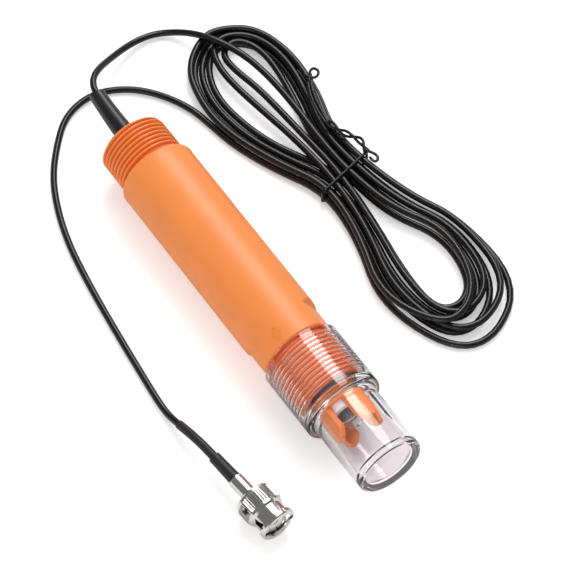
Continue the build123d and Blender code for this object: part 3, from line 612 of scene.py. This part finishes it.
def build_stage(settings):
    """The floor, the soft lights and the surrounding."""
    build_floor()
    area_light("key_light", (-0.45, 0.41, 0.79), (0.35, 0.8), settings.key_power)
    area_light("side_light", (0.55, -0.75, 0.35), (0.7, 0.3), settings.key_power * SIDE_LIGHT_SHARE)

    # Seen directly the surrounding is white; through glass it darkens towards the horizon, which draws the
    # edges of the clear cap; in gloss it is dim, so black stays black
    world = bpy.data.worlds.new("surrounding")
    world.use_nodes = True
    tree = world.node_tree
    back = tree.nodes["Background"]
    back.inputs["Color"].default_value = (1, 1, 1, 1)
    path = tree.nodes.new("ShaderNodeLightPath")
    camera, glossy, glass = (path.outputs[f"Is {kind} Ray"] for kind in ("Camera", "Glossy", "Transmission"))
    split = tree.nodes.new("ShaderNodeSeparateXYZ")
    tree.links.new(tree.nodes.new("ShaderNodeTexCoord").outputs["Generated"], split.inputs[0])
    rise = map_range(tree, split.outputs["Z"], HORIZON_HEIGHTS, HORIZON_LIGHTS)
    direct = math_node(tree, "MAXIMUM", camera, math_node(tree, "MULTIPLY", glass, rise))
    unseen = math_node(tree, "SUBTRACT", 1.0, math_node(tree, "MAXIMUM", camera, glass))
    dimmed = math_node(tree, "MULTIPLY", glossy, settings.fill_strength - GLOSSY_FILL)
    fill = math_node(tree, "SUBTRACT", settings.fill_strength, dimmed)
    lit = math_node(tree, "ADD", direct, math_node(tree, "MULTIPLY", unseen, fill))
    tree.links.new(lit, back.inputs["Strength"])
    bpy.context.scene.world = world
    bpy.context.scene.view_settings.view_transform = "Standard"


def hank_points():
    """The turns of the hank, one after another, on their lanes between the innermost and the outermost."""
    points = []
    for turn, shares in enumerate(HANK_SHARES):
        heights = UPPER_LAYER if turn < UPPER_TURNS else LOWER_LAYER
        special = {CROSSING_TURN: CROSSING_HEIGHTS, DESCENT_TURN: DESCENT_HEIGHTS}.get(turn, {})
        for station, share in enumerate(shares):
            inner, outer = (Vector(p) for p in HANK_STATIONS[station])
            place = Vector(HANK_PLACED.get((turn, station), inner.lerp(outer, share)))
            points.append((place.x, place.y, special.get(station, heights[station])))
    return points


def tube_curve(name, points, radius, cyclic=False):
    """A smooth round curve along guides in millimetres, with a radius in metres."""
    curve = bpy.data.curves.new(name, "CURVE")
    curve.dimensions = "3D"
    curve.bevel_depth = radius
    curve.bevel_resolution = 3
    curve.resolution_u = 6
    curve.use_fill_caps = True
    line = curve.splines.new("NURBS")
    line.points.add(len(points) - 1)
    for point, place in zip(line.points, points):
        point.co = (*(Vector(place) * MM), 1.0)
    line.order_u = 3
    line.use_endpoint_u = not cyclic
    line.use_cyclic_u = cyclic
    return placed(name, curve)


def build_cord(settings):
    """The whole cable as one curve: lead, hank and tail."""
    cable = tube_curve("cable", [*LEAD_POINTS, *hank_points(), *TAIL_POINTS], settings.diameter / 2)
    cable.data.materials.append(MATERIALS["cable_jacket"])
    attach(cable, "electrode")
    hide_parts("cable_lead", "cable_hank", "cable_tail")
    return cable


def twist_group():
    """Two wires wound round the line of a curve, at the same pitch and half a turn apart."""
    tree, given, result = group("twisted_pair", "Offset", "Pitch", "Wire")
    nodes, links = tree.nodes, tree.links
    even = nodes.new("GeometryNodeResampleCurve")
    even.mode = "LENGTH"
    even.inputs["Length"].default_value = PAIR_STEP * MM
    links.new(given.outputs["Geometry"], even.inputs["Curve"])
    along = nodes.new("GeometryNodeSplineParameter")
    turns = math_node(tree, "DIVIDE", along.outputs["Length"], given.outputs["Pitch"])
    turned = math_node(tree, "MULTIPLY", turns, tau)
    section = nodes.new("GeometryNodeCurvePrimitiveCircle")
    section.inputs["Resolution"].default_value = PAIR_SIDES
    links.new(given.outputs["Wire"], section.inputs["Radius"])
    both = nodes.new("GeometryNodeJoinGeometry")
    for phase in (0.0, pi):
        turn = nodes.new("ShaderNodeVectorRotate")
        turn.rotation_type = "AXIS_ANGLE"
        links.new(nodes.new("GeometryNodeInputNormal").outputs[0], turn.inputs["Vector"])
        links.new(nodes.new("GeometryNodeInputTangent").outputs[0], turn.inputs["Axis"])
        links.new(math_node(tree, "ADD", turned, phase), turn.inputs["Angle"])
        reach = nodes.new("ShaderNodeVectorMath")
        reach.operation = "SCALE"
        links.new(turn.outputs[0], reach.inputs[0])
        links.new(given.outputs["Offset"], reach.inputs["Scale"])
        move = nodes.new("GeometryNodeSetPosition")
        links.new(even.outputs[0], move.inputs["Geometry"])
        links.new(reach.outputs[0], move.inputs["Offset"])
        wire = nodes.new("GeometryNodeCurveToMesh")
        links.new(move.outputs[0], wire.inputs["Curve"])
        links.new(section.outputs[0], wire.inputs["Profile Curve"])
        wire.inputs["Fill Caps"].default_value = True
        links.new(wire.outputs[0], both.inputs[0])
    return painted(tree, given, both.outputs[0], result)


def meshed(made):
    """The mesh of one of the tie's curves, in its place, with the tie's material."""
    graph = bpy.context.evaluated_depsgraph_get()
    mesh = bpy.data.meshes.new_from_object(made.evaluated_get(graph), depsgraph=graph)
    mesh.materials.clear()
    mesh.materials.append(MATERIALS["tie_plastic"])
    piece = placed(made.name + "_wire", mesh)
    bpy.data.objects.remove(made)
    return tidy_mesh(piece, WIRE_ANGLE)


def build_tie(wire):
    """The wire tie: a turn round the hank, a twisted pair, a looped long end, a short end and a loop."""
    angle = radians(TIE_TURN)
    x, y = TIE_MIDDLE
    wrap = [(x + along * cos(angle), y + along * sin(angle), height) for along, height in TIE_WRAP]
    pair = add_group(
        tube_curve("tie_pair", TIE_PAIR, 0.0), twist_group(),
        Offset=PAIR_OFFSET * MM, Pitch=PAIR_PITCH * MM, Wire=wire / 2, Material=MATERIALS["tie_plastic"],
    )
    singles = (
        ("tie_wrap", wrap, True), ("tie_end", TIE_END, False),
        ("tie_short_end", TIE_SHORT_END, False), ("tie_loop", TIE_LOOP, False),
    )
    others = [meshed(tube_curve(name, points, wire / 2, cyclic)) for name, points, cyclic in singles]
    tie = joined(meshed(pair), *others)
    tie.name = "wire_tie"
    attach(tie, "electrode")
    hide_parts("twist_tie")
    return tie


def shoulder_arc(start, end, tangent, count=8):
    """Points on the arc from start to end that leaves start along the tangent."""
    x0, r0 = start
    x1, r1 = end
    size = hypot(*tangent)
    normal = (tangent[1] / size, -tangent[0] / size)
    chord = (x1 - x0, r1 - r0)
    radius = (chord[0] ** 2 + chord[1] ** 2) / (2 * (chord[0] * normal[0] + chord[1] * normal[1]))
    cx, cr = x0 + normal[0] * radius, r0 + normal[1] * radius
    a0, a1 = atan2(r0 - cr, x0 - cx), atan2(r1 - cr, x1 - cx)
    turns = [a0 + (a1 - a0) * i / count for i in range(count + 1)]
    return [(cx + radius * cos(a), cr + radius * sin(a)) for a in turns]


def flat_angles(middle, half, columns):
    """Angles round the body, with columns on the edges of both flats."""
    angles = []
    count = columns // 2
    share = round(count * half / (pi / 2) / 2) * 2
    for side in (middle, middle + pi):
        angles += [side - half + 2 * half * i / share for i in range(share)]
        angles += [side + half + (pi - 2 * half) * i / (count - share) for i in range(count - share)]
    return angles


def build_body(settings):
    """The orange body: both threads, the barrel with its flats, the nose and the four prongs."""
    barrel, root, flat = settings.barrel_radius / MM, settings.root_radius / MM, settings.flats_half / MM
    crest = settings.crest_radius / MM
    # The first flat's middle lies between +Y and +Z
    middle = settings.roll
    half = atan2(sqrt(barrel**2 - flat**2), flat)
    blank = root - THREAD_BLANK
    profile = [
        (REAR_X, REAR_BORE), (REAR_X, root - THREAD_CHAMFER),
        *[(x, blank) for x in stations(REAR_X + THREAD_INSET, REAR_THREAD_END - THREAD_CHAMFER, THREAD_STEP)],
        (REAR_THREAD_END, root),
        *shoulder_arc((REAR_THREAD_END, SHOULDER_FOOT), (SHOULDER_END, barrel), SHOULDER_RISE),
        *[(x, barrel) for x in stations(SHOULDER_END, FLATS_START, BARREL_STEP)[1:]],
        *[(x, barrel) for x in stations(FLATS_START, FLATS_START + FLATS_RAMP, FLATS_STEP)[1:]],
        (28.4, barrel), (33.0, barrel), (38.95, barrel),
        (BARREL_END, barrel - BARREL_CHAMFER), (BARREL_END, root),
        *[
            (x, blank)
            for x in stations(FRONT_THREAD_START + FRONT_THREAD_LEAD, FRONT_THREAD_END - THREAD_INSET, THREAD_STEP)
        ],
        (FRONT_THREAD_END, root - THREAD_CHAMFER), (FRONT_THREAD_END, NOSE_RADIUS),
        (NOSE_END - NOSE_CHAMFER, NOSE_RADIUS), (NOSE_END, NOSE_RADIUS - NOSE_CHAMFER), (NOSE_END, NOSE_BORE),
        (BORE_END, NOSE_BORE), (BORE_END, BODY_BORE), (BORE_START, BODY_BORE), (BORE_START, REAR_BORE),
    ]

    def radius_at(x, radius, angle):
        if not FLATS_START - 0.1 < x < BARREL_END + 0.05 or radius < flat:
            return radius
        ledge = barrel + (flat - barrel) * min(1.0, max(0.0, (x - FLATS_START) / FLATS_RAMP))
        turned = min(abs((angle - middle + pi) % tau - pi), abs((angle - middle + tau) % tau - pi))
        return radius if turned > half else min(radius, ledge / cos(turned))

    threads = ((REAR_X, REAR_THREAD_END), (FRONT_THREAD_START, FRONT_THREAD_END))
    fades = [
        max(fade_at(x, *ends, BODY_THREAD_RUN) for ends in threads) if radius == blank else 0.0
        for x, radius in profile
    ]
    angles = flat_angles(middle, half, settings.columns)
    shell = threaded_shell("body_shell", profile, angles, fades, "body_plastic", root, crest, radius_at)
    prongs = [build_prong(-settings.roll + quarter) for quarter in (pi / 4, 3 * pi / 4, 5 * pi / 4, 7 * pi / 4)]
    joined(shell, *prongs, build_arrow(barrel, settings.roll))
    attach(shell, "electrode")
    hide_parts("electrode_body")
    return shell


def build_prong(angle):
    """One guard prong: a tongue cut from a tube, with a tapering rounded tip. angle is from +Z towards +Y."""
    points = []
    for surface in PRONG_RADII:
        for x, half in PRONG_OUTLINE:
            for column in PRONG_COLUMNS:
                across = half * column
                points.append((x, across, sqrt(surface**2 - across**2)))
    size, rows = len(PRONG_COLUMNS), len(PRONG_OUTLINE)
    second = rows * size
    faces = []
    for row in range(rows - 1):
        for column in range(size - 1):
            a = row * size + column
            faces.append((a, a + 1, a + 1 + size, a + size))
            faces.append((second + a, second + a + size, second + a + 1 + size, second + a + 1))
        for column in (0, size - 1):
            a = row * size + column
            faces.append((a, a + size, second + a + size, second + a))
    for row in (0, rows - 1):
        for column in range(size - 1):
            a = row * size + column
            faces.append((a, a + 1, second + a + 1, second + a))
    turned = [
        (x, out * sin(angle) + across * cos(angle), AXIS_HEIGHT + out * cos(angle) - across * sin(angle))
        for x, across, out in points
    ]
    made = mesh_object("prong", turned, faces, "body_plastic")
    tidy_mesh(made)
    bevel = made.modifiers.new("edges", "BEVEL")
    bevel.width = PRONG_BEVEL * MM
    bevel.segments = 2
    bevel.limit_method = "ANGLE"
    bevel.angle_limit = radians(50)
    return tidy_mesh(baked(made), PRONG_ANGLE)


def build_arrow(barrel, roll):
    """A small outline arrow standing on the barrel, pointing at the sensing end."""
    points, faces = [], []
    count = len(ARROW_LINE)
    for index, corner in enumerate(ARROW_LINE):
        corner = Vector(corner)
        before, after = Vector(ARROW_LINE[index - 1]), Vector(ARROW_LINE[(index + 1) % count])
        first, second = (corner - before).normalized(), (after - corner).normalized()
        side = Vector((-(first + second).y, (first + second).x)).normalized()
        reach = ARROW_HALF_WIDTH / max(SHARPEST_CORNER, side.dot(Vector((-first.y, first.x))))
        for offset in (-reach, reach):
            x, across = corner + side * offset
            for out in ARROW_LEVELS:
                turn = -roll + across / barrel
                points.append((x, (barrel + out) * sin(turn), AXIS_HEIGHT + (barrel + out) * cos(turn)))
    for index in range(count):
        a, b = 4 * index, 4 * ((index + 1) % count)
        # The top, the two sides and the foot of one stretch of the line
        faces += [
            (a + 1, a + 3, b + 3, b + 1), (a, a + 1, b + 1, b),
            (a + 3, a + 2, b + 2, b + 3), (a + 2, a, b, b + 2),
        ]
    return tidy_mesh(mesh_object("arrow", points, faces, "body_plastic"))


def quarter_arc(x, radius, size, hollow=False):
    """A quarter circle of a profile about its centre: over an edge, or in a hollow corner."""
    turns = [i * pi / 12 for i in range(7)]
    if hollow:
        return [(x - size * sin(pi / 2 - a), radius - size * cos(pi / 2 - a)) for a in turns]
    return [(x + size * sin(a), radius + size * cos(a)) for a in turns]


def build_cap(settings):
    """The clear cap, with an inner thread half as deep as the body's."""
    gap = settings.thread_clearance / MM
    root, crest = CAP_THREAD_ROOT + gap, CAP_THREAD_CREST + gap
    profile = [
        (39.7, 13.6), (39.7, 14.85), (39.95, 15.1),
        *quarter_arc(65.5, 14.1, 1.0), *quarter_arc(67.85, 14.0, 1.35, hollow=True),
        (75.0, 12.65), (85.0, 12.65), *quarter_arc(93.4, 11.45, 1.2),
        (94.6, 6.0), (94.6, 0.0), (90.8, 0.0), (90.8, 6.0), (90.8, 8.8), (90.5, 9.5), (89.8, 9.8),
        (80.0, 9.8), (70.0, 9.8), (63.4, 9.8), (63.2, 10.0), (63.2, 13.0), (63.0, crest),
        *[(x, crest) for x in stations(60.4, 41.9, THREAD_STEP)],
        (CAP_THREAD_START, crest), (CAP_THREAD_START, 13.6),
    ]
    fades = [
        fade_at(x, CAP_THREAD_START, CAP_THREAD_END, CAP_THREAD_RUN) if radius == crest else 0.0
        for x, radius in profile
    ]
    angles = [tau * i / settings.columns for i in range(settings.columns)]
    cap = threaded_shell("cap_shell", profile, angles, fades, "clear_plastic", root, crest)
    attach(cap, "cap")
    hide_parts("storage_cap")
    return cap


def paint_nodes():
    """Gives every CAD node that is still shown the material of its slot."""
    for part in frame["record"]["subparts"]:
        made = frame["nodes"][part["node"]]
        if made.hide_render:
            continue
        made.data.materials.clear()
        made.data.materials.append(MATERIALS[part["material_slot"]])


class ELECTRODE_OT_stage(bpy.types.Operator):
    """Makes the camera, the floor and the lights"""

    bl_idname = "electrode.stage"
    bl_label = "Stage"

    def execute(self, context):
        MATERIALS.update(make_materials())
        build_camera(context.scene.electrode_stage)
        build_stage(context.scene.electrode_stage)
        return {"FINISHED"}


class ELECTRODE_OT_cord(bpy.types.Operator):
    """Lays the cable with its tied hank"""

    bl_idname = "electrode.cord"
    bl_label = "Cable"

    def execute(self, context):
        settings = context.scene.electrode_cord
        cable = build_cord(settings)
        tie = build_tie(settings.tie_wire)
        return {"FINISHED"}


class ELECTRODE_OT_body(bpy.types.Operator):
    """Builds the orange body with its threads, flats and prongs"""

    bl_idname = "electrode.body"
    bl_label = "Body"

    def execute(self, context):
        build_body(context.scene.electrode_body)
        return {"FINISHED"}


class ELECTRODE_OT_cap(bpy.types.Operator):
    """Builds the clear storage cap"""

    bl_idname = "electrode.cap"
    bl_label = "Storage cap"

    def execute(self, context):
        build_cap(context.scene.electrode_cap)
        return {"FINISHED"}


class ELECTRODE_OT_paint(bpy.types.Operator):
    """Gives the remaining CAD pieces their materials"""

    bl_idname = "electrode.paint"
    bl_label = "Other pieces"

    def execute(self, context):
        paint_nodes()
        return {"FINISHED"}


class ELECTRODE_PT_panel(bpy.types.Panel):
    """The steps, in order"""

    bl_idname = "ELECTRODE_PT_panel"
    bl_label = "pH electrode"
    bl_space_type = "VIEW_3D"
    bl_region_type = "UI"
    bl_category = "Electrode"

    def draw(self, context):
        for step in STEPS:
            self.layout.operator(step.bl_idname)


STEPS = (ELECTRODE_OT_stage, ELECTRODE_OT_cord, ELECTRODE_OT_body, ELECTRODE_OT_cap, ELECTRODE_OT_paint)
GROUPS = {
    "electrode_body": ELECTRODE_PG_body,
    "electrode_cap": ELECTRODE_PG_cap,
    "electrode_cord": ELECTRODE_PG_cord,
    "electrode_stage": ELECTRODE_PG_stage,
}
CLASSES = (*GROUPS.values(), *STEPS, ELECTRODE_PT_panel)


def register():
    for each in CLASSES:
        bpy.utils.register_class(each)
    for title, kind in GROUPS.items():
        setattr(bpy.types.Scene, title, PointerProperty(type=kind))


def unregister():
    for title in GROUPS:
        delattr(bpy.types.Scene, title)
    for each in reversed(CLASSES):
        bpy.utils.unregister_class(each)


def main():
    """Builds everything in order."""
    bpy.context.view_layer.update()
    register()
    bpy.ops.electrode.stage()
    bpy.ops.electrode.cord()
    bpy.ops.electrode.body()
    bpy.ops.electrode.cap()
    bpy.ops.electrode.paint()


if __name__ == "__main__":
    main()
